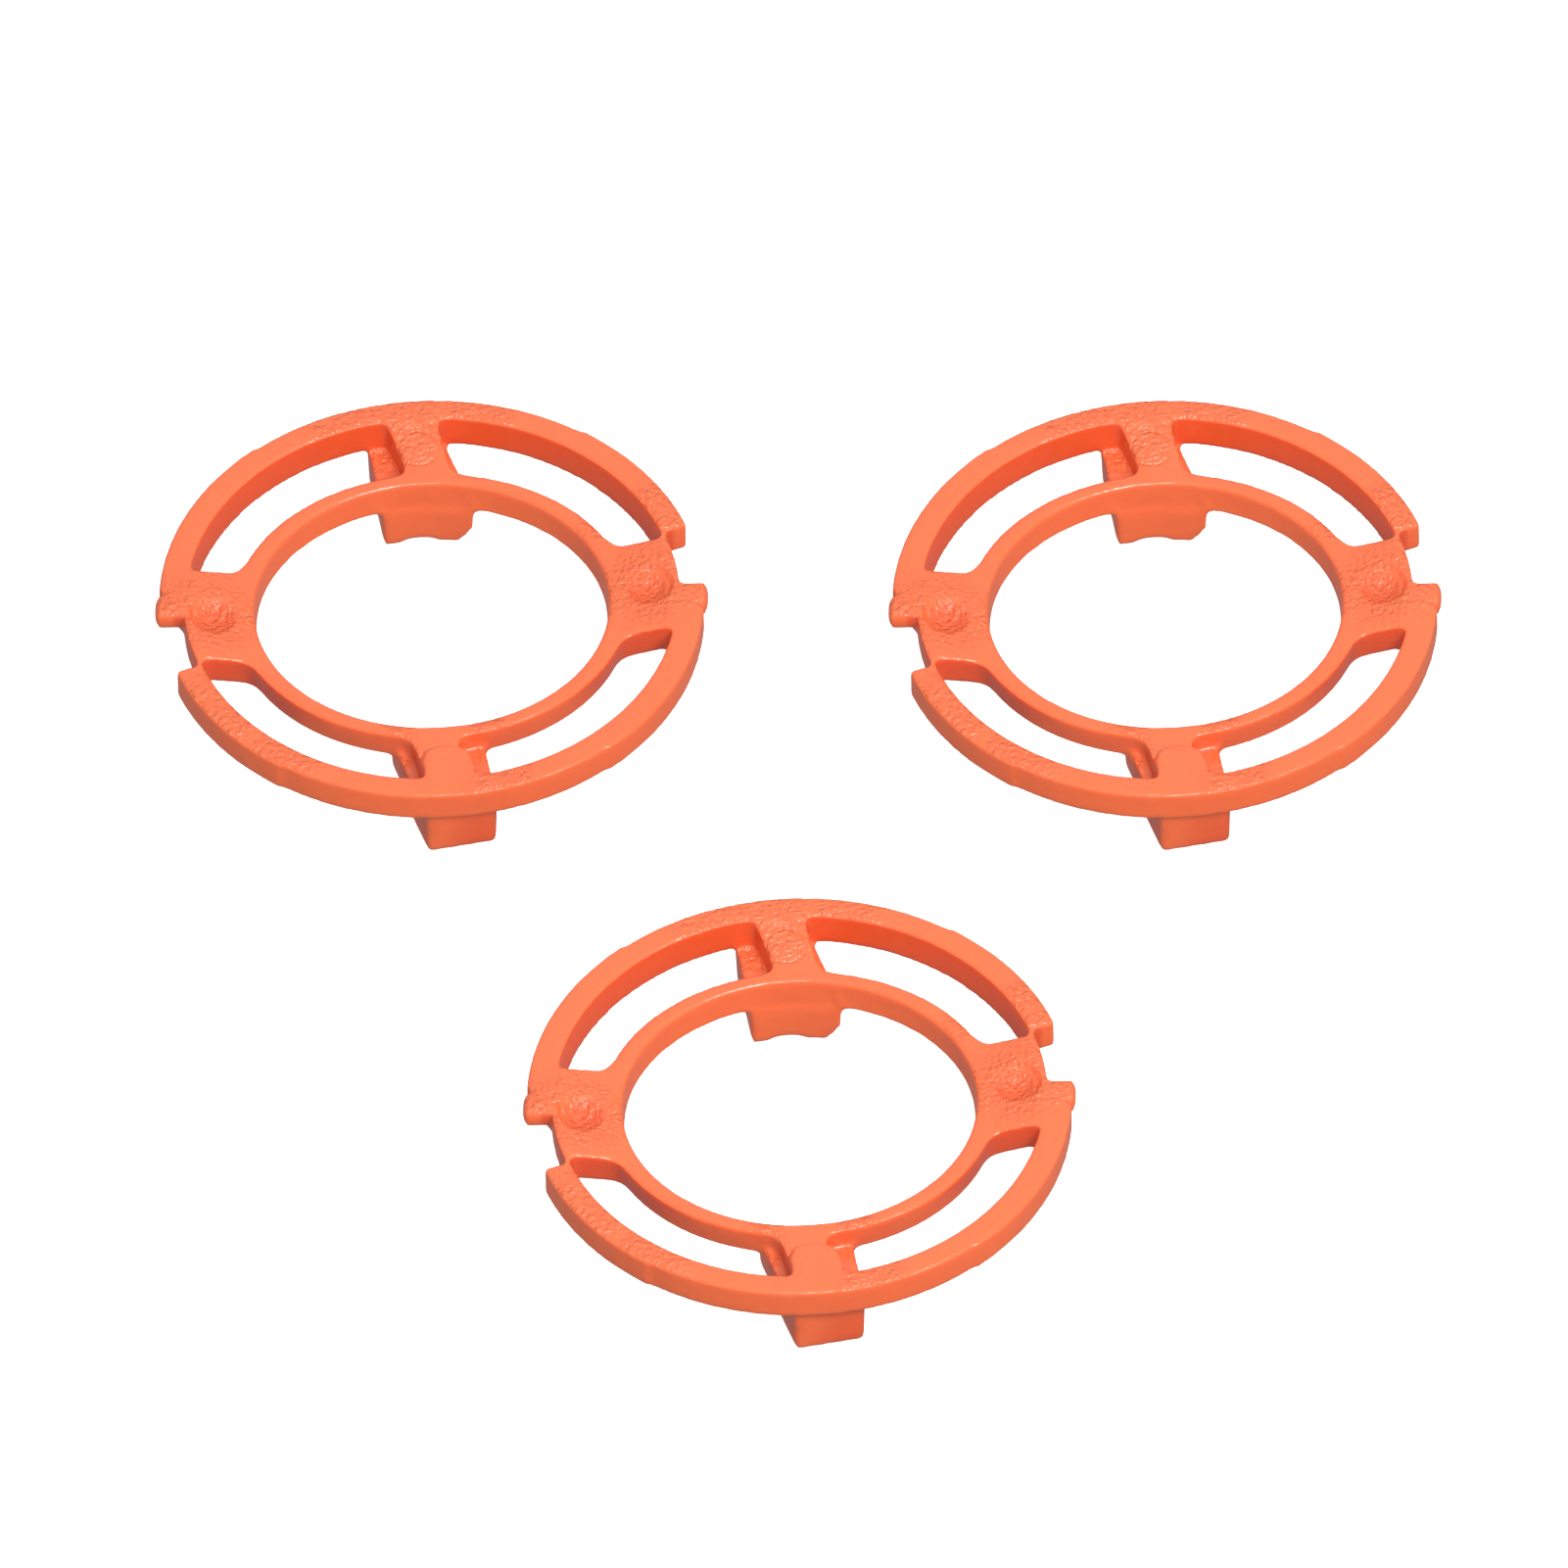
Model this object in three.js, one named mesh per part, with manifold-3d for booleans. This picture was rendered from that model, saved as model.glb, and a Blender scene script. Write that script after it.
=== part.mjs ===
// Set of three identical moulded retaining rings for rotary shaver cutters, standing on their legs.
// Each ring is one plastic moulding: a flat outer ring, a lower oval inner ring, two wide pads and
// two narrow spokes that join them, a leg under each spoke and a snap nub beside each rim gap.
// Every feature comes twice, half a turn apart, but the tongue is on one spoke only.
// Millimetres, +Z up, origin under the set's middle.

import * as THREE from 'three';
import { mergeVertices } from 'three/addons/utils/BufferGeometryUtils.js';
import Module from 'manifold-3d';

function polar(radius, degrees) {
  const angle = THREE.MathUtils.degToRad(degrees);
  return new THREE.Vector2(radius * Math.cos(angle), radius * Math.sin(angle));
}

// Heights, measured up from the undersides of the legs.
const TOP = 4.65;
const RING_THICKNESS = 1.77;
const UNDERSIDE = TOP - RING_THICKNESS;
const INNER_DROP = 0.52;
const LEDGE_HEIGHT = 0.05;

// Outer ring. The rim is a hair smaller in front of each spoke.
const RIM_RADIUS = 13.5;
const RELIEF_RADIUS = 13.4;
const RELIEF = [51.8, 126];
const SLOT_RADIUS = 12.15;
const SLOPE_START = 11.9;

// Inner ring: an oval whose long axis runs through the pads. The legs stand out a little into its bore.
const BORE = { x: 8.81, y: 8.2 };
const BORE_TAPER = 0.14;
const LEG_STEP = 0.09;
const INNER_EDGE = { x: 9.92, y: 9 };
const SLOPE_END = 9.6;

// Gap in the rim beside each pad, the nub that stands in it and the small nick after the nub.
const GAP_FLOOR_RADIUS = 12.3;
const GAP_START = -1;
const GAP_END = 16;
const NUB = { middle: -3.35, halfWidth: 0.74, reach: 13.7, foot: 12.2, lift: 0.6, rounding: 0.36 };
const NICK = { floorRadius: 13.15, floor: -6.6, end: -8.2 };

// Four slots between the two rings: angles of the corners on the outer circle and on the inner oval.
const SLOTS = [
  { outer: [14.5, 84.2], inner: [19.6, 79.8] },
  { outer: [96.1, 165.5], inner: [92.6, 160.4] },
];
const SLOT_CORNER = { outer: 0.4, inner: 0.8 };
// The slot walls lean inwards: the slot shrinks towards the ring's axis by this share, top to bottom.
const SLOT_LEAN = 0.022;

// Shallow round dish in each pad.
const DISH = { distance: 10.65, radius: 1.19, depth: 0.35 };

// Steps in which the curve of a dish runs from its middle to its edge.
const DISH_STEPS = 4;

// How far a cutter, or a plate that is still to be trimmed, reaches past the finished shape.
const MARGIN = 1;

// Flat tongue on one spoke, level with the outer ring: the x range of its rounded tip and of its root.
const TONGUE = { tip: [-1.3, 0.95], root: [-1.05, 1.45], tipY: -9.93, rootY: -12.5, corner: 0.9 };

// Leg: a block under each spoke, its inner face in line with the bore. It narrows a little downwards.
const LEG = {
  inner: [-1.8, 2.9], innerY: 7, outerLeft: polar(12.8, 100.4), outerRight: polar(13.1, 84.3),
  middle: [0.3, 10.6], draft: 0.04,
};
// The chamfer cuts the lower right edge near the bore; the hollow is a shallow arch under its inner edge.
const LEG_CHAMFER = { x: 2.48, y: 8.3, width: 0.55, height: 1, length: 2.6, turn: 15 };
const LEG_HOLLOW = { radius: 2.4, rise: 0.4, reach: 1.6, middleY: 8 };

// Facets.
const ARC_STEP = 5;
const BORE_SEGMENTS = 72;
const DISH_SEGMENTS = 24;
const CORNER_STEPS = 3;

// Layout of the set on the surface that it stands on.
const LAY_ANGLE = 5.4;
const RINGS = [
  { name: 'retaining_ring_left', x: -18.12, y: 16.78 },
  { name: 'retaining_ring_right', x: 18.12, y: 16.78 },
  { name: 'retaining_ring_front', x: 0.54, y: -16.78 },
];

const wasm = await Module();
wasm.setup();

function toSolid(geometry) {
  const bare = geometry.clone();
  bare.deleteAttribute('normal');
  bare.deleteAttribute('uv');
  const merged = mergeVertices(bare, 1e-5);
  const vertProperties = new Float32Array(merged.attributes.position.array);
  const triVerts = new Uint32Array(merged.index.array);
  return new wasm.Manifold(new wasm.Mesh({ numProp: 3, vertProperties, triVerts }));
}

function toGeometry(solid) {
  const mesh = solid.getMesh();
  const geometry = new THREE.BufferGeometry();
  geometry.setAttribute('position', new THREE.BufferAttribute(mesh.vertProperties, 3));
  geometry.setIndex(new THREE.BufferAttribute(mesh.triVerts, 1));
  geometry.computeVertexNormals();
  return geometry;
}

// Points along an arc of a circle or, with radiusY, of an oval.
function arc(radiusX, from, to, radiusY = radiusX) {
  const steps = Math.max(1, Math.ceil(Math.abs(to - from) / ARC_STEP));
  return Array.from({ length: steps + 1 }, (_, step) => {
    const angle = THREE.MathUtils.degToRad(from + ((to - from) * step) / steps);
    return new THREE.Vector2(radiusX * Math.cos(angle), radiusY * Math.sin(angle));
  });
}

// The outline with some corners rounded: corners maps a point's index to the length that is rounded.
function roundCorners(points, corners) {
  return points.flatMap((corner, index) => {
    if (!corners.has(index)) return [corner];
    const length = corners.get(index);
    const before = points[(index - 1 + points.length) % points.length];
    const after = points[(index + 1) % points.length];
    const start = corner.clone().add(before.clone().sub(corner).setLength(length));
    const end = corner.clone().add(after.clone().sub(corner).setLength(length));
    return new THREE.QuadraticBezierCurve(start, corner, end).getPoints(CORNER_STEPS);
  });
}

function extrude(shape, bottom, top) {
  const geometry = new THREE.ExtrudeGeometry(shape, {
    depth: top - bottom, bevelEnabled: false, curveSegments: CORNER_STEPS,
  });
  return toSolid(geometry.translate(0, 0, bottom));
}

function halfTurn(solid) {
  return solid.rotate([0, 0, 180]);
}

// Half of the outer outline, from the nick beside one nub round to the nick beside the other.
function rimHalf(turn) {
  return [
    polar(NICK.floorRadius, turn + NICK.floor),
    ...arc(GAP_FLOOR_RADIUS, turn + GAP_START, turn + GAP_END),
    ...arc(RIM_RADIUS, turn + GAP_END, turn + RELIEF[0]),
    ...arc(RELIEF_RADIUS, turn + RELIEF[0], turn + RELIEF[1]),
    ...arc(RIM_RADIUS, turn + RELIEF[1], turn + 180 + NICK.end),
  ];
}

function slotSolid(slot) {
  const outer = arc(SLOT_RADIUS, slot.outer[0], slot.outer[1]);
  const inner = arc(INNER_EDGE.x, slot.inner[1], slot.inner[0], INNER_EDGE.y);
  const points = [...outer, ...inner];
  const corners = new Map([
    [0, SLOT_CORNER.outer],
    [outer.length - 1, SLOT_CORNER.outer],
    [outer.length, SLOT_CORNER.inner],
    [points.length - 1, SLOT_CORNER.inner],
  ]);
  const solid = extrude(new THREE.Shape(roundCorners(points, corners)), 0, TOP + MARGIN);
  return solid.warp((vertex) => {
    const shrink = 1 - (SLOT_LEAN * (TOP - vertex[2])) / RING_THICKNESS;
    vertex[0] *= shrink;
    vertex[1] *= shrink;
  });
}

// Cross-section of the whole ring: flat outside, sloping down to the lower inner ring.
function dishedPlate() {
  const level = [
    [BORE.y / 2, -INNER_DROP],
    [SLOPE_END, -INNER_DROP],
    [SLOPE_START, 0],
    [RIM_RADIUS + 1, 0],
  ];
  const upper = level.map(([radius, height]) => new THREE.Vector2(radius, TOP + height));
  const lower = level.map(([radius, height]) => new THREE.Vector2(radius, UNDERSIDE + height));
  const profile = [...lower, ...upper.reverse(), lower[0]];
  return toSolid(new THREE.LatheGeometry(profile, BORE_SEGMENTS).rotateX(Math.PI / 2));
}

function slottedPlate() {
  const shape = new THREE.Shape([...rimHalf(0), ...rimHalf(180)]);
  const plate = extrude(shape, 0, TOP + MARGIN).intersect(dishedPlate());
  return SLOTS.map(slotSolid).reduce((left, slot) => left.subtract(slot).subtract(halfTurn(slot)), plate);
}

function leg() {
  const { inner, innerY, outerLeft, outerRight, middle, draft } = LEG;
  const outline = [
    new THREE.Vector2(inner[1], innerY),
    outerRight,
    outerLeft,
    new THREE.Vector2(inner[0], innerY),
  ];
  const height = UNDERSIDE + LEDGE_HEIGHT;
  const block = extrude(new THREE.Shape(outline), 0, height).warp((vertex) => {
    const shrink = 1 - (draft * (height - vertex[2])) / height;
    vertex[0] = middle[0] + (vertex[0] - middle[0]) * shrink;
    vertex[1] = middle[1] + (vertex[1] - middle[1]) * shrink;
  });
  return block.subtract(legChamfer()).subtract(legHollow());
}

// Slanted cut off the lower right edge of a leg, seen from the bore, over the part nearest to the bore.
function legChamfer() {
  const { x, y, width, height, length, turn } = LEG_CHAMFER;
  const profile = new THREE.Shape([
    new THREE.Vector2(-width, -MARGIN),
    new THREE.Vector2(MARGIN, -MARGIN),
    new THREE.Vector2(MARGIN, height + (MARGIN * height) / width),
    new THREE.Vector2(0, height),
    new THREE.Vector2(-width, 0),
  ]);
  const wedge = new THREE.ExtrudeGeometry(profile, { depth: length, bevelEnabled: false });
  wedge.rotateX(Math.PI / 2).translate(0, length / 2, 0).rotateZ(THREE.MathUtils.degToRad(turn));
  return toSolid(wedge.translate(x, y, 0));
}

// Shallow arch under the inner edge of a leg.
function legHollow() {
  const { radius, rise, reach } = LEG_HOLLOW;
  const cone = new THREE.CylinderGeometry(radius, radius - rise, reach, DISH_SEGMENTS);
  return toSolid(cone.translate(0, LEG_HOLLOW.middleY, rise - radius));
}

function nub() {
  const { halfWidth, reach, foot, lift, rounding } = NUB;
  const shape = new THREE.Shape([
    new THREE.Vector2(foot, -halfWidth + rounding),
    new THREE.Vector2(reach - rounding, -halfWidth + rounding),
    new THREE.Vector2(reach - rounding, halfWidth - rounding),
    new THREE.Vector2(foot, halfWidth - rounding),
  ]);
  const geometry = new THREE.ExtrudeGeometry(shape, {
    depth: RING_THICKNESS - lift - 2 * rounding,
    bevelEnabled: true,
    bevelSize: rounding,
    bevelThickness: rounding,
    bevelSegments: CORNER_STEPS,
  });
  geometry.translate(0, 0, UNDERSIDE + lift + rounding);
  return toSolid(geometry.rotateZ(THREE.MathUtils.degToRad(NUB.middle)));
}

function dish() {
  const { distance, radius, depth } = DISH;
  const sphere = (radius * radius + depth * depth) / (2 * depth);
  const bowl = Array.from({ length: DISH_STEPS + 1 }, (_, step) => {
    const across = (radius * step) / DISH_STEPS;
    return new THREE.Vector2(across, sphere - depth - Math.sqrt(sphere * sphere - across * across));
  });
  const profile = [...bowl, new THREE.Vector2(radius, MARGIN), new THREE.Vector2(0, MARGIN)];
  const cutter = new THREE.LatheGeometry(profile, DISH_SEGMENTS).rotateX(Math.PI / 2);
  const padLevel = TOP - (INNER_DROP * (SLOPE_START - distance)) / (SLOPE_START - SLOPE_END);
  return toSolid(cutter.translate(distance, 0, padLevel));
}

function tongue() {
  const { tip, root, tipY, rootY, corner } = TONGUE;
  const outline = [
    new THREE.Vector2(root[0], rootY),
    new THREE.Vector2(root[1], rootY),
    new THREE.Vector2(tip[1], tipY),
    new THREE.Vector2(tip[0], tipY),
  ];
  const shape = new THREE.Shape(roundCorners(outline, new Map([[2, corner], [3, corner]])));
  return extrude(shape, UNDERSIDE + RING_THICKNESS / 2, TOP);
}

function bore() {
  const height = RING_THICKNESS + INNER_DROP;
  const taper = new THREE.CylinderGeometry(1, 1 - BORE_TAPER / BORE.x, height, BORE_SEGMENTS);
  taper.rotateX(Math.PI / 2).scale(BORE.x, BORE.y, 1);
  taper.translate(0, 0, TOP - INNER_DROP - RING_THICKNESS + height / 2);
  const below = new THREE.CylinderGeometry(1, 1, 2 * UNDERSIDE, BORE_SEGMENTS);
  const legInset = BORE_TAPER + LEG_STEP;
  below.rotateX(Math.PI / 2).scale(BORE.x - legInset, BORE.y - legInset, 1);
  return toSolid(taper).add(toSolid(below));
}

function ringSolid() {
  const added = [leg(), nub()];
  const joined = added.reduce((ring, piece) => ring.add(piece).add(halfTurn(piece)), slottedPlate());
  return joined.add(tongue()).subtract(dish()).subtract(halfTurn(dish())).subtract(bore());
}

const orangePlastic = new THREE.MeshStandardMaterial({ color: 0xf36b3c, roughness: 0.42, metalness: 0 });
const ringGeometry = toGeometry(ringSolid());
const set = new THREE.Group();
for (const { name, x, y } of RINGS) {
  const ring = new THREE.Mesh(ringGeometry, orangePlastic);
  ring.name = name;
  ring.position.set(x, y, 0);
  ring.rotation.z = THREE.MathUtils.degToRad(LAY_ANGLE);
  set.add(ring);
}

export default set;
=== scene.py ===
import math

import bmesh
import bpy
from bpy.props import FloatProperty, FloatVectorProperty, IntProperty, PointerProperty
from mathutils import Matrix, Vector


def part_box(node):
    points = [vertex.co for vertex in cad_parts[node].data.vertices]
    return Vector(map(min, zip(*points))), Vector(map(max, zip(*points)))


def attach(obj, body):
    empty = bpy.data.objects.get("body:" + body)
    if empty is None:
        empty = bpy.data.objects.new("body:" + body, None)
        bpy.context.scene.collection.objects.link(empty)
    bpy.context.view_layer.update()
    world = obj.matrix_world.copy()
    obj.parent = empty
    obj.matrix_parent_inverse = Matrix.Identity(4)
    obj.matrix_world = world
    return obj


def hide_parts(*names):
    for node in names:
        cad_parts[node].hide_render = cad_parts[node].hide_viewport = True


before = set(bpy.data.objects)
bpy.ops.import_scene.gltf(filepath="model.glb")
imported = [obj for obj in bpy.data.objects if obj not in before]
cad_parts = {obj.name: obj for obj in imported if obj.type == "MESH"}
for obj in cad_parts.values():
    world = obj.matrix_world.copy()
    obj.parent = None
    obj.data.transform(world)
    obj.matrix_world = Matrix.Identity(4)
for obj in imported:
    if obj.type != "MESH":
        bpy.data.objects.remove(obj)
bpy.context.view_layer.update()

bl_info = {
    "name": "Moulded retaining rings",
    "version": (1, 0, 0),
    "blender": (4, 5, 0),
    "location": "3D View > Sidebar > Rings",
    "description": "Makes three moulded retaining rings and the stage that they stand on",
    "category": "Object",
}

MM = 0.001

# Corners of the CAD faces that lie closer together than this are one point.
SAME_POINT = 0.001 * MM
# The legs count as ends from this far under the outer ring.
LEG_START = 0.3 * MM
# Radius of the fine circle on the plain spoke, and its middle on the ring, in mm.
MARK_RADIUS = 1.0
MARK_PLACE = (0.17, 10.4, 4.4)
# Distance of the camera from the middle of the picture, in metres.
CAMERA_DISTANCE = 0.5

# CAD node of each ring and the body that it moves with.
RINGS = {
    "retaining_ring_left": "left_ring",
    "retaining_ring_right": "right_ring",
    "retaining_ring_front": "front_ring",
}


def srgb(code):
    """Linear red, green and blue of an sRGB hex code such as "f26f3c"."""
    channels = (int(code[place : place + 2], 16) / 255 for place in (0, 2, 4))
    return tuple(c / 12.92 if c <= 0.04045 else ((c + 0.055) / 1.055) ** 2.4 for c in channels)


# ---------------------------------------------------------------- settings


class RingSettings(bpy.types.PropertyGroup):
    """Sizes and colours of one moulded ring."""

    turn: FloatProperty(
        name="Turn", description="How far the rings are turned about their own axis",
        default=math.radians(5.4), unit="ROTATION",
    )
    voxel: FloatProperty(
        name="Surface step", description="Spacing of the points on the moulded surface",
        default=0.115 * MM, unit="LENGTH", precision=6,
    )
    softening: IntProperty(
        name="Edge softening", description="Passes that round the edges as a mould does", default=15, min=1,
    )
    end_softening: IntProperty(
        name="End softening", description="More passes on the legs and nubs, which are rounder",
        default=22, min=1,
    )
    underside: FloatProperty(
        name="Underside", description="Height of the underside of the outer ring", default=2.88 * MM,
        unit="LENGTH",
    )
    dish_distance: FloatProperty(
        name="Dish distance", description="Distance of each dish from the ring's axis",
        default=10.65 * MM, unit="LENGTH",
    )
    dish_radius: FloatProperty(
        name="Dish radius", description="Radius of the shallow dish in each pad",
        default=1.19 * MM, unit="LENGTH",
    )
    dish_depth: FloatProperty(
        name="Dish depth", description="Depth of the shallow dish in each pad",
        default=0.5 * MM, unit="LENGTH",
    )
    step_distance: FloatProperty(
        name="Step distance", description="Distance from the axis of the small step on the plain spoke",
        default=11.85 * MM, unit="LENGTH",
    )
    step_height: FloatProperty(
        name="Step height", description="Height of the small step on the plain spoke",
        default=0.16 * MM, unit="LENGTH",
    )
    spoke_foot: FloatProperty(
        name="Spoke foot", description="Distance from the axis where the spokes reach the inner ring",
        default=9.4 * MM, unit="LENGTH",
    )
    spoke_width: FloatProperty(
        name="Spoke width", description="Width of the lowered part of the plain spoke",
        default=5 * MM, unit="LENGTH",
    )
    rim: FloatProperty(
        name="Rim", description="Radius of the outer rim, which the nubs stand out from",
        default=13.52 * MM, unit="LENGTH",
    )
    inner_drop: FloatProperty(
        name="Inner drop", description="How much lower the inner ring lies than the outer ring",
        default=0.52 * MM, unit="LENGTH",
    )
    orange: FloatVectorProperty(
        name="Orange", description="Main colour of the plastic", subtype="COLOR", size=3,
        default=srgb("f46f3c"),
    )
    # Painted shade: this colour is mixed in on the steep slot walls and in the dishes to stand for the shade
    # there, and in faint streaks.
    shade_and_streak_orange: FloatVectorProperty(
        name="Deep orange", description="Colour in the dishes and on the walls of the slots",
        subtype="COLOR", size=3, default=srgb("dc4a1e"),
    )


class StageSettings(bpy.types.PropertyGroup):
    """Floor, light and camera."""

    floor_colour: FloatVectorProperty(
        name="Floor", description="Colour of the floor", subtype="COLOR", size=3, default=srgb("fbfbfb"),
    )
    floor_size: FloatProperty(
        name="Floor size", description="Width of the floor", default=2.0, unit="LENGTH",
    )
    sky: FloatProperty(
        name="Sky", description="Strength of the light from above", default=0.8, min=0,
    )
    ground: FloatProperty(
        name="Ground", description="Strength of the light that comes back from below", default=0.3, min=0,
    )
    key_power: FloatProperty(
        name="Key light", description="Power of the soft lamp beside the camera", default=1.65, unit="POWER",
    )
    key_size: FloatProperty(
        name="Key size", description="Width of the soft lamp beside the camera", default=0.13, unit="LENGTH",
    )
    key_place: FloatVectorProperty(
        name="Key place", description="Where the soft lamp beside the camera stands", size=3,
        subtype="TRANSLATION", default=(0.15, -0.26, 0.35),
    )
    target: FloatVectorProperty(
        name="Target", description="Point in the middle of the picture", size=3, subtype="TRANSLATION",
        default=(-0.52 * MM, 4.19 * MM, 4.65 * MM), precision=6,
    )
    elevation: FloatProperty(
        name="Elevation", description="How steeply the camera looks down", default=math.radians(47.1),
        unit="ROTATION",
    )
    azimuth: FloatProperty(
        name="Azimuth", description="How far the camera looks to the left of +Y", default=math.radians(1.775),
        unit="ROTATION",
    )
    roll: FloatProperty(
        name="Roll", description="Tilt of the camera about its own line of sight", default=math.radians(1.3),
        unit="ROTATION",
    )
    view_width: FloatProperty(
        name="View width", description="Width of the scene that the camera sees", default=77.47 * MM,
        unit="LENGTH",
    )


# ---------------------------------------------------------------- small helpers


def new_object(name, mesh):
    """A mesh object in the scene, at the origin."""
    thing = bpy.data.objects.new(name, mesh)
    bpy.context.scene.collection.objects.link(thing)
    return thing


def object_from(name, shape):
    """Turns a finished bmesh into an object and frees it."""
    bmesh.ops.recalc_face_normals(shape, faces=shape.faces)
    mesh = bpy.data.meshes.new(name)
    shape.to_mesh(mesh)
    shape.free()
    return new_object(name, mesh)


def add_node(tree, kind, links=None, **settings):
    """Adds a shader node; settings are its properties or, in `inputs`, its sockets' values."""
    node = tree.nodes.new(kind)
    for key, value in settings.pop("inputs", {}).items():
        node.inputs[key].default_value = value
    for key, value in settings.items():
        setattr(node, key, value)
    for key, source in (links or {}).items():
        tree.links.new(source, node.inputs[key])
    return node


def ring_centre(node):
    """Middle of a ring at the height of its feet, from its CAD box."""
    low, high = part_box(node)
    return Vector(((low.x + high.x) / 2, (low.y + high.y) / 2, 0))


def ring_place(node, turn):
    """Matrix that puts a ring made around the origin in its place in the set."""
    return Matrix.Translation(ring_centre(node)) @ Matrix.Rotation(turn, 4, "Z")


# ---------------------------------------------------------------- the ring


def bare_ring(settings):
    """The CAD shape of a ring, its faces joined, moved to the origin and turned back."""
    node = "retaining_ring_front"
    shape = bmesh.new()
    shape.from_mesh(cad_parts[node].data)
    bmesh.ops.remove_doubles(shape, verts=shape.verts, dist=SAME_POINT)
    bmesh.ops.transform(shape, matrix=ring_place(node, settings.turn).inverted(), verts=shape.verts)
    return object_from("bare_ring", shape)


def spoke_step(settings, top):
    """Cutter that lowers the plain spoke behind a small step at the outer ring."""
    length = settings.step_distance - settings.spoke_foot
    slope = math.atan2(settings.inner_drop - settings.step_height, length)
    shape = bmesh.new()
    bmesh.ops.create_cube(shape, size=1)
    bmesh.ops.scale(shape, vec=(settings.spoke_width, length, 1 * MM), verts=shape.verts)
    bmesh.ops.translate(shape, vec=(0, -length / 2, 0.5 * MM), verts=shape.verts)
    bmesh.ops.rotate(shape, cent=(0, 0, 0), matrix=Matrix.Rotation(slope, 3, "X"), verts=shape.verts)
    place = (0.5 * MM, settings.step_distance, top - settings.step_height)
    bmesh.ops.translate(shape, vec=place, verts=shape.verts)
    return object_from("spoke_step", shape)


def dish_ball(settings, side, top):
    """Ball whose lowest cap sinks the shallow dish into a pad."""
    radius = (settings.dish_radius**2 + settings.dish_depth**2) / (2 * settings.dish_depth)
    pad_level = top - settings.inner_drop / 2
    shape = bmesh.new()
    bmesh.ops.create_uvsphere(shape, u_segments=96, v_segments=64, radius=radius)
    place = (side * settings.dish_distance, 0, pad_level - settings.dish_depth + radius)
    bmesh.ops.translate(shape, vec=place, verts=shape.verts)
    return object_from("dish_ball", shape)


def cut(piece, cutter):
    """Takes the cutter's shape out of the piece."""
    boolean = piece.modifiers.new("cut", "BOOLEAN")
    boolean.operation = "DIFFERENCE"
    boolean.solver = "EXACT"
    boolean.object = cutter
    cutter.hide_render = True


def soften(piece, settings):
    """Rounds every edge a little, as the mould does."""
    remesh = piece.modifiers.new("surface", "REMESH")
    remesh.mode = "VOXEL"
    remesh.voxel_size = settings.voxel
    smooth = piece.modifiers.new("soften", "SMOOTH")
    smooth.factor = 0.5
    smooth.iterations = settings.softening


def finished_mesh(piece):
    """The piece's mesh with all its modifiers worked in."""
    bpy.context.view_layer.update()
    ready = piece.evaluated_get(bpy.context.evaluated_depsgraph_get())
    return bpy.data.meshes.new_from_object(ready)


def is_end(spot, settings):
    """True on a leg below the ring and on a nub outside the rim."""
    away = math.hypot(spot.x, spot.y)
    return spot.z < settings.underside - LEG_START or away > settings.rim


def round_ends(mesh, settings):
    """Rounds the legs and the nubs more than the rest."""
    shape = bmesh.new()
    shape.from_mesh(mesh)
    ends = [vertex for vertex in shape.verts if is_end(vertex.co, settings)]
    for _ in range(settings.end_softening):
        bmesh.ops.smooth_vert(
            shape, verts=ends, factor=0.5, use_axis_x=True, use_axis_y=True, use_axis_z=True
        )
    shape.to_mesh(mesh)
    shape.free()


def remember_place(mesh):
    """Stores each point's place on the ring in millimetres, for the patterns of the plastic."""
    places = mesh.attributes.new("ring_place", "FLOAT_VECTOR", "POINT")
    for vertex, place in zip(mesh.vertices, places.data):
        place.vector = vertex.co / MM


def moulded_ring(settings):
    """One finished ring around the origin."""
    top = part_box("retaining_ring_front")[1].z
    ring = bare_ring(settings)
    cutters = [spoke_step(settings, top)]
    cut(ring, cutters[0])
    soften(ring, settings)
    for side in (-1, 1):
        cutters.append(dish_ball(settings, side, top))
        cut(ring, cutters[-1])
    mesh = finished_mesh(ring)
    round_ends(mesh, settings)
    for helper in (ring, *cutters):
        bpy.data.objects.remove(helper)
    mesh.polygons.foreach_set("use_smooth", [True] * len(mesh.polygons))
    mesh.set_sharp_from_angle(angle=math.radians(50))
    remember_place(mesh)
    return mesh


# Middle and reach, in mm on the ring, of the patches that the mould leaves rough: both pads, the plain
# spoke with the rim around it, a length of the outer ring beyond each gap, and the rings by the tongue.
ROUGH_PATCHES = (
    ((-11.2, 0, 4.4), 3.6), ((11.2, 0, 4.4), 3.6), ((-0.5, 11.6, 4.4), 3.2), ((-3.5, 12.6, 4.6), 2.6),
    ((3.5, 12.6, 4.6), 2.4), ((-10.8, -6.4, 4.6), 3.4), ((-7.8, -10, 4.6), 2.6), ((12, 5, 4.6), 2.4),
    ((-2.6, -9.4, 4.1), 1.8), ((2.4, -9.4, 4.1), 1.8), ((2.6, -12.8, 4.6), 2.2), ((9, 4.6, 4.1), 1.8),
)


# Middle and reach, in mm on the ring, of the two shallow dishes in the pads.
DISHES = (((-10.65, 0, 3.9), 1.5), ((10.65, 0, 3.9), 1.5))


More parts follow.
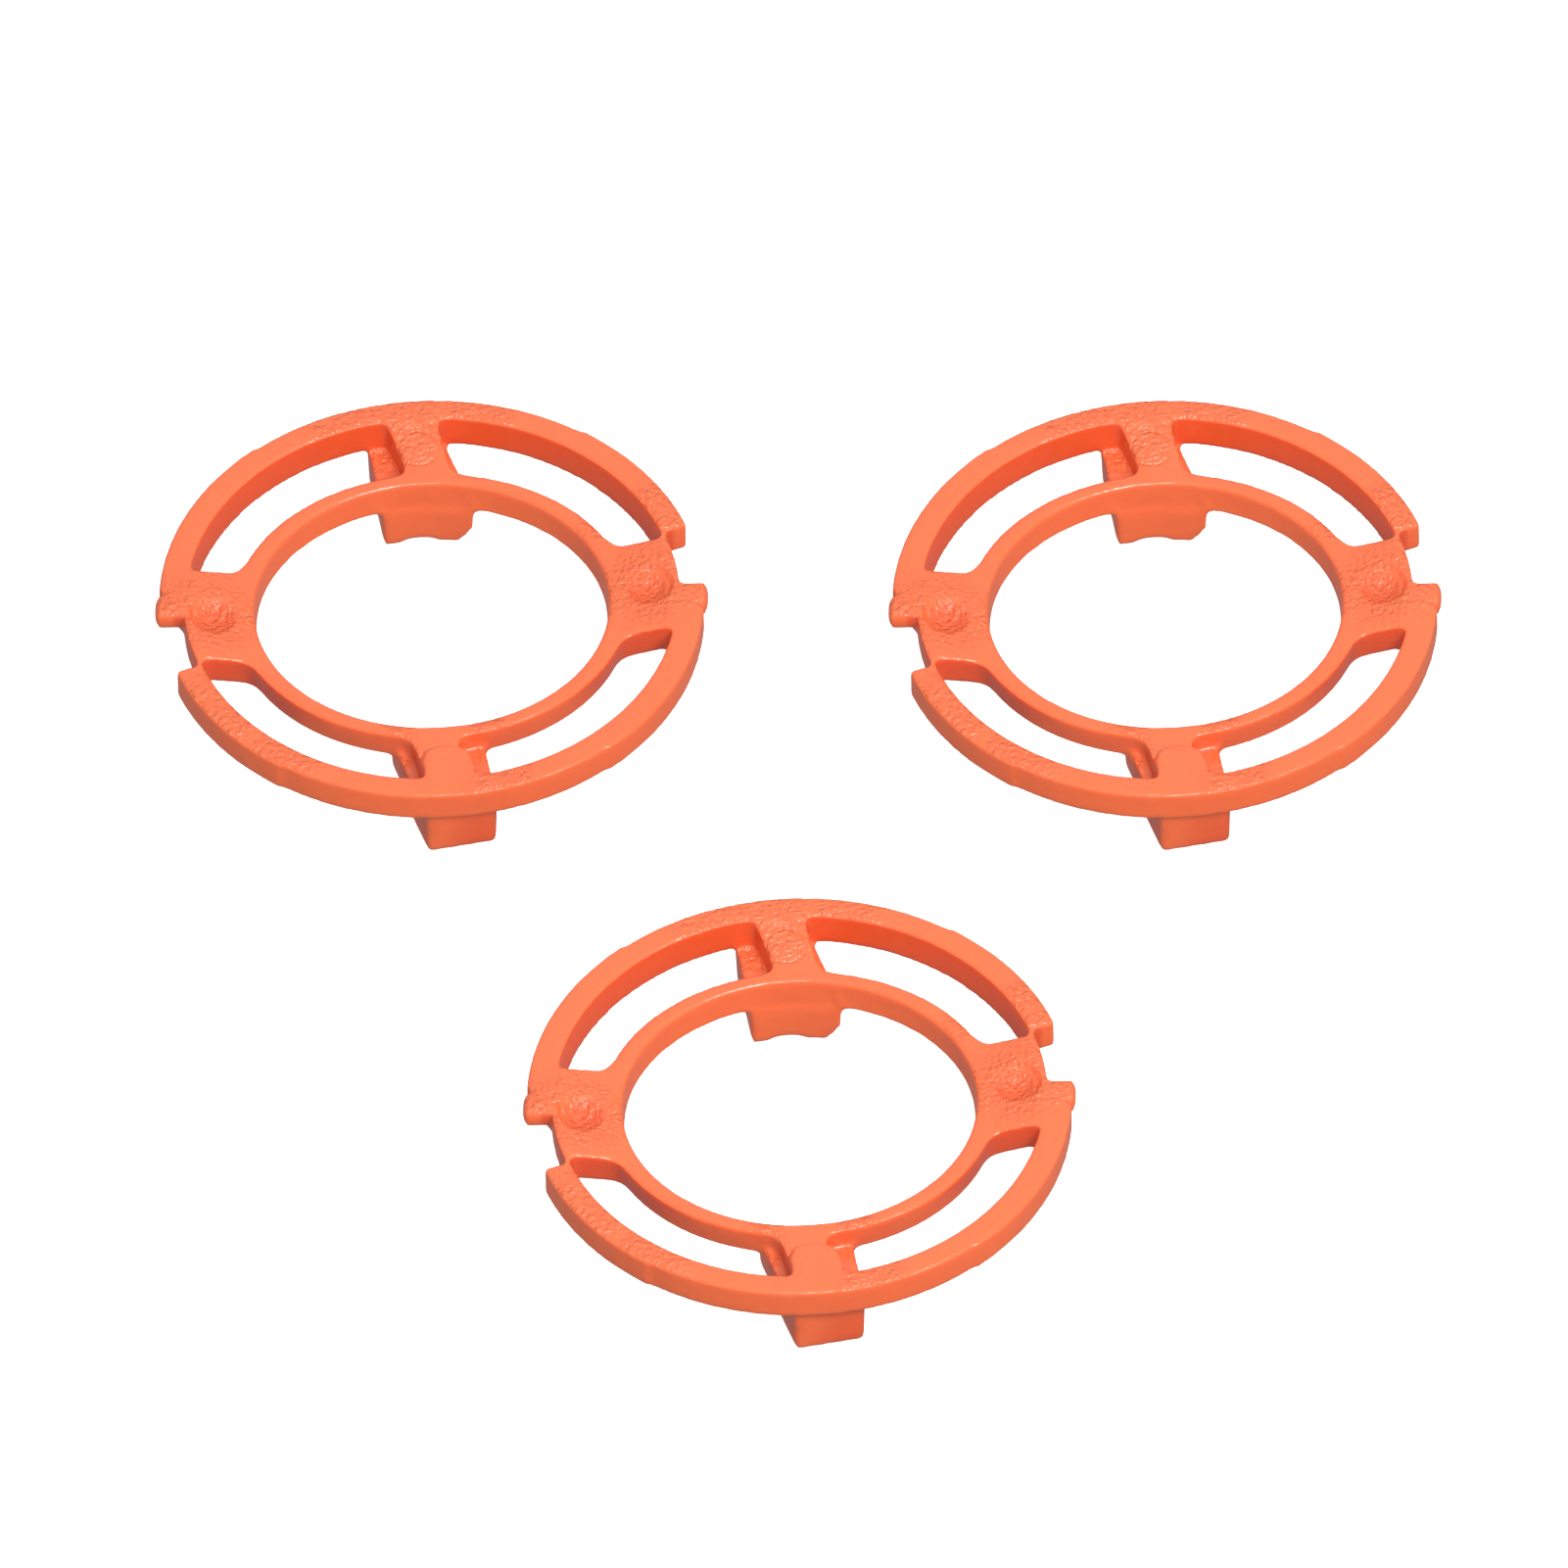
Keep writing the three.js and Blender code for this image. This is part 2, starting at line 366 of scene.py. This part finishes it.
def moulded_orange_plastic(settings):
    """Injection-moulded ABS in solid orange: satin, a soft warm glow in the edges, a few rough patches, and
    shade painted into the colour on the slot walls and in the dishes.
    """
    material = bpy.data.materials.new("moulded_orange_abs")
    material.use_nodes = True
    tree = material.node_tree
    tree.nodes.clear()
    place = add_node(tree, "ShaderNodeAttribute", attribute_name="ring_place").outputs["Vector"]
    # Fine skin of the moulding: ripples of about 1.2 mm over the whole ring.
    skin = add_node(tree, "ShaderNodeTexNoise", {"Vector": place}, inputs={"Scale": 0.8, "Detail": 2})
    gloss = add_node(
        tree, "ShaderNodeMapRange", {"Value": skin.outputs["Fac"]}, inputs={"To Min": 0.26, "To Max": 0.38}
    )
    # The subsurface light gives the edges their glow.
    shader = add_node(
        tree, "ShaderNodeBsdfPrincipled",
        {
            "Base Color": mixed_orange(tree, place, settings),
            "Roughness": gloss.outputs["Result"],
            "Normal": moulded_relief(tree, place, skin.outputs["Fac"]),
        },
        inputs={
            "IOR": 1.54,
            "Specular IOR Level": 0.7,
            "Subsurface Weight": 0.2,
            "Subsurface Radius": (1.0, 0.3, 0.12),
            "Subsurface Scale": 0.0008,
        },
    )
    add_node(tree, "ShaderNodeOutputMaterial", {"Surface": shader.outputs["BSDF"]})
    return material


def mixed_orange(tree, place, settings):
    """Colour of the plastic, from the main orange to the deep one, which paints shade on the slot walls and
    in the dishes and adds faint streaks.
    """
    # Inputs 6 and 7 of a Mix node are its two colours, and output 2 is the mixed colour.
    colour = add_node(
        tree, "ShaderNodeMix", {"Factor": painted_shade_and_streaks(tree, place)}, data_type="RGBA",
        inputs={6: (*settings.orange, 1), 7: (*settings.shade_and_streak_orange, 1)},
    )
    return colour.outputs[2]


def moulded_relief(tree, place, skin):
    """Surface direction with the rough patches, the fine circle and the skin worked in."""
    # Spark-eroded mould surface: grains of about 0.3 mm.
    grain = add_node(
        tree, "ShaderNodeTexNoise", {"Vector": place}, inputs={"Scale": 3.6, "Detail": 2, "Roughness": 0.5}
    )
    rough = combine(tree, "MULTIPLY", rough_patches(tree, place), grain.outputs["Fac"])
    coarse = add_node(
        tree, "ShaderNodeBump", {"Height": combine(tree, "SUBTRACT", rough, ring_mark(tree, place))},
        inputs={"Strength": 0.75, "Distance": 0.0004},
    )
    fine = add_node(
        tree, "ShaderNodeBump", {"Height": skin, "Normal": coarse.outputs["Normal"]},
        inputs={"Strength": 0.2, "Distance": 0.0003},
    )
    return fine.outputs["Normal"]


def fade(tree, value, start, end):
    """0 where the value is at the start, 1 at the end, and a smooth rise between them."""
    return add_node(
        tree, "ShaderNodeMapRange", {"Value": value}, interpolation_type="SMOOTHSTEP",
        inputs={"From Min": start, "From Max": end},
    ).outputs["Result"]


def combine(tree, operation, first, second):
    """One value made from two by a Math node."""
    return add_node(tree, "ShaderNodeMath", {0: first, 1: second}, operation=operation).outputs[0]


def near_any(tree, place, patches):
    """1 in the middle of each patch and 0 outside them, from each patch's middle and reach in mm."""
    total = None
    for spot, reach in patches:
        distance = add_node(
            tree, "ShaderNodeVectorMath", {0: place}, operation="DISTANCE", inputs={1: spot}
        )
        near = fade(tree, distance.outputs["Value"], reach, reach * 0.5)
        total = combine(tree, "MAXIMUM", total, near) if total else near
    return total


def upward(tree):
    """How far the surface faces up: 1 on the top, 0 on a wall and -1 underneath."""
    facing = add_node(tree, "ShaderNodeNewGeometry").outputs["Normal"]
    return add_node(tree, "ShaderNodeSeparateXYZ", {"Vector": facing}).outputs["Z"]


def rough_patches(tree, place):
    """1 on the rough patches of the mould's top face and 0 elsewhere."""
    top = fade(tree, upward(tree), 0.5, 0.85)
    return combine(tree, "MULTIPLY", near_any(tree, place, ROUGH_PATCHES), top)


def painted_shade_and_streaks(tree, place):
    """Painted shade and streaks: how far the colour goes to the deep orange. It is painted on the steep walls
    of the slots and in the dishes, where shade falls, and in faint streaks, so these look richer than the
    top.
    """
    level = add_node(tree, "ShaderNodeVectorMath", {0: place}, operation="MULTIPLY", inputs={1: (1, 1, 0)})
    length = add_node(tree, "ShaderNodeVectorMath", {0: level.outputs["Vector"]}, operation="LENGTH")
    away = length.outputs["Value"]
    # Painted shade on the steep faces between the inner and outer rings, where the slot walls lie in shade.
    between = combine(tree, "MULTIPLY", fade(tree, away, 9.1, 9.5), fade(tree, away, 13, 12.6))
    steep = fade(tree, upward(tree), 0.75, 0.3)
    walls = combine(tree, "MULTIPLY", between, steep)
    # The shade painted into a dish is about half as deep as the shade on a wall.
    dishes = fade(tree, near_any(tree, place, DISHES), -0.2, 2)
    slot_and_dish_shade = combine(tree, "MAXIMUM", walls, dishes)
    # Flow of the melt: faint streaks about 5 mm long.
    flow = add_node(
        tree, "ShaderNodeTexNoise", {"Vector": place}, inputs={"Scale": 0.2, "Detail": 3, "Distortion": 0.6}
    )
    streaks = fade(tree, flow.outputs["Fac"], 0, 3)
    return combine(tree, "MAXIMUM", fade(tree, slot_and_dish_shade, -0.2, 1.6), streaks)


def ring_mark(tree, place):
    """Depth of the fine circle that an insert of the mould leaves on the plain spoke, 2 mm across."""
    distance = add_node(
        tree, "ShaderNodeVectorMath", {0: place}, operation="DISTANCE", inputs={1: MARK_PLACE}
    )
    off = add_node(
        tree, "ShaderNodeMath", {0: distance.outputs["Value"]}, operation="SUBTRACT", inputs={1: MARK_RADIUS}
    )
    gap = add_node(tree, "ShaderNodeMath", {0: off.outputs[0]}, operation="ABSOLUTE")
    groove = add_node(
        tree, "ShaderNodeMapRange", {"Value": gap.outputs[0]}, interpolation_type="SMOOTHSTEP",
        inputs={"From Min": 0.12, "From Max": 0.02, "To Min": 0, "To Max": 0.2},
    )
    return groove.outputs["Result"]


class RINGS_OT_mould_rings(bpy.types.Operator):
    """Make the three moulded rings and put each in its place"""

    bl_idname = "rings.mould_rings"
    bl_label = "Mould rings"

    def execute(self, context):
        settings = context.scene.ring_settings
        master = moulded_ring(settings)
        master.materials.clear()
        master.materials.append(moulded_orange_plastic(settings))
        for node, body in RINGS.items():
            mesh = master.copy()
            mesh.transform(ring_place(node, settings.turn))
            ring = new_object("moulded_" + node, mesh)
            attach(ring, body)
            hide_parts(node)
        bpy.data.meshes.remove(master)
        return {"FINISHED"}


# ---------------------------------------------------------------- the stage


def pale_floor(settings):
    """A large smooth floor, painted matt white and evenly lit so that it stays nearly free of shadow."""
    shape = bmesh.new()
    bmesh.ops.create_grid(shape, x_segments=1, y_segments=1, size=settings.floor_size / 2)
    floor = object_from("pale_floor", shape)
    material = bpy.data.materials.new("matt_white_paint")
    material.use_nodes = True
    paint = material.node_tree.nodes["Principled BSDF"]
    paint.inputs["Base Color"].default_value = (*settings.floor_colour, 1)
    paint.inputs["Roughness"].default_value = 0.9
    paint.inputs["Emission Color"].default_value = (1, 1, 1, 1)
    paint.inputs["Emission Strength"].default_value = 0.8
    floor.data.materials.append(material)
    floor.visible_diffuse = False
    floor.visible_glossy = False
    return floor


def key_lamp(settings):
    """A square lamp beside the camera, turned to the middle of the set."""
    light = bpy.data.lights.new("key_lamp", "AREA")
    light.size = settings.key_size
    light.energy = settings.key_power
    lamp = bpy.data.objects.new("key_lamp", light)
    bpy.context.scene.collection.objects.link(lamp)
    lamp.location = settings.key_place
    lamp.rotation_euler = (-Vector(settings.key_place)).to_track_quat("-Z", "Y").to_euler()


def soft_surround(settings):
    """White light from all around, weaker from below than from above."""
    world = bpy.data.worlds.new("surround")
    world.use_nodes = True
    tree = world.node_tree
    direction = add_node(tree, "ShaderNodeTexCoord").outputs["Generated"]
    height = add_node(tree, "ShaderNodeSeparateXYZ", {"Vector": direction}).outputs["Z"]
    strength = add_node(
        tree, "ShaderNodeMapRange", {"Value": height}, interpolation_type="SMOOTHSTEP",
        inputs={"From Min": -0.6, "From Max": 0.6, "To Min": settings.ground, "To Max": settings.sky},
    )
    sky = tree.nodes["Background"]
    sky.inputs["Color"].default_value = (1, 1, 1, 1)
    tree.links.new(strength.outputs["Result"], sky.inputs["Strength"])
    bpy.context.scene.world = world


def camera(settings):
    """Long-lens camera that looks down on the rings from the front."""
    lens = bpy.data.cameras.new("camera")
    lens.type = "ORTHO"
    lens.ortho_scale = settings.view_width
    lens.clip_end = 10
    eye = bpy.data.objects.new("camera", lens)
    bpy.context.scene.collection.objects.link(eye)
    side, rise = settings.azimuth, settings.elevation
    right = Vector((math.cos(side), math.sin(side), 0))
    ahead = Vector((-math.cos(rise) * math.sin(side), math.cos(rise) * math.cos(side), -math.sin(rise)))
    up = right.cross(ahead)
    tilt = Matrix.Rotation(settings.roll, 3, ahead)
    axes = Matrix((tilt @ right, tilt @ up, -ahead)).transposed().to_4x4()
    eye.matrix_world = Matrix.Translation(Vector(settings.target) - ahead * CAMERA_DISTANCE) @ axes
    bpy.context.scene.camera = eye


class RINGS_OT_set_stage(bpy.types.Operator):
    """Make the floor, the soft light and the camera"""

    bl_idname = "rings.set_stage"
    bl_label = "Set stage"

    def execute(self, context):
        settings = context.scene.stage_settings
        context.scene.view_settings.view_transform = "Standard"
        pale_floor(settings)
        soft_surround(settings)
        key_lamp(settings)
        camera(settings)
        return {"FINISHED"}


class RINGS_PT_panel(bpy.types.Panel):
    """Lists the steps that make the rings"""

    bl_label = "Rings"
    bl_space_type = "VIEW_3D"
    bl_region_type = "UI"
    bl_category = "Rings"

    def draw(self, context):
        for step in STEPS:
            self.layout.operator(step.bl_idname)


STEPS = (RINGS_OT_mould_rings, RINGS_OT_set_stage)
CLASSES = (RingSettings, StageSettings, *STEPS, RINGS_PT_panel)


def register():
    for item in CLASSES:
        bpy.utils.register_class(item)
    bpy.types.Scene.ring_settings = PointerProperty(type=RingSettings)
    bpy.types.Scene.stage_settings = PointerProperty(type=StageSettings)


def unregister():
    del bpy.types.Scene.stage_settings
    del bpy.types.Scene.ring_settings
    for item in reversed(CLASSES):
        bpy.utils.unregister_class(item)


def main():
    register()
    bpy.ops.rings.mould_rings()
    bpy.ops.rings.set_stage()


if __name__ == "__main__":
    main()
